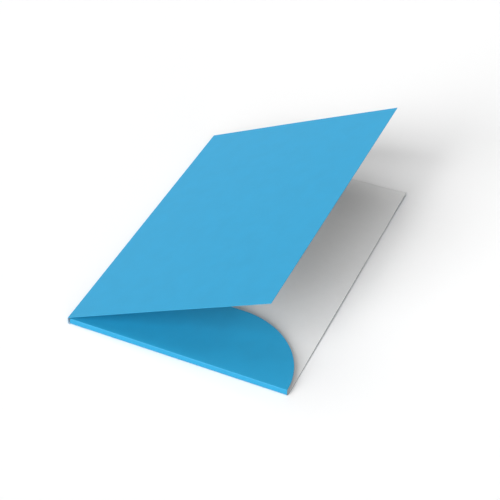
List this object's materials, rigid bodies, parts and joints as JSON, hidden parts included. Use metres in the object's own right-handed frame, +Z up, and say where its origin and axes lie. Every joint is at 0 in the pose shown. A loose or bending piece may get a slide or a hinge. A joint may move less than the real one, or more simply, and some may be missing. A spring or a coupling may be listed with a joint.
{
  "type": "document folder",
  "caption": "Card presentation folder for A4 sheets, with a hinged front cover, a flat spine and a gusseted pocket with a quarter-round end across its foot.",
  "frame": {"origin": "middle of the folder's footprint, on the surface that its back cover lies on", "axes": "+X from the spine to the fore-edge, +Y from the foot with the pocket to the head, +Z up out of the back cover"},
  "size_m": [0.215, 0.31, 0.1009],
  "materials": {
    "printed_card": "satin",
    "white_card": "matte",
    "glue": "satin"
  },
  "bodies": {
    "back": {"back_cover": "white_card", "back_crease": "printed_card", "foot_fold": "printed_card", "foot_gusset": "printed_card", "pocket_foot_fold": "printed_card", "pocket_front": "printed_card", "pocket_side_fold": "printed_card", "side_gusset": "printed_card", "tab_fold": "printed_card", "glue_tab": "white_card", "tab_glue": "glue"},
    "spine": {"spine_panel": "printed_card"},
    "cover": {"front_crease": "printed_card", "front_cover": "printed_card"}
  },
  "joints": [
    {"name": "spine_fold", "type": "hinge", "parent": "back", "child": "spine", "pos_m": [-0.10727, 0, 0.00022], "axis": [0, -1, 0], "range_deg": [0, 90]},
    {"name": "cover_fold", "type": "hinge", "parent": "spine", "child": "cover", "pos_m": [-0.10727, 0, 0.00743], "axis": [0, -1, 0], "range_deg": [-25.4, 64.6]}
  ]
}
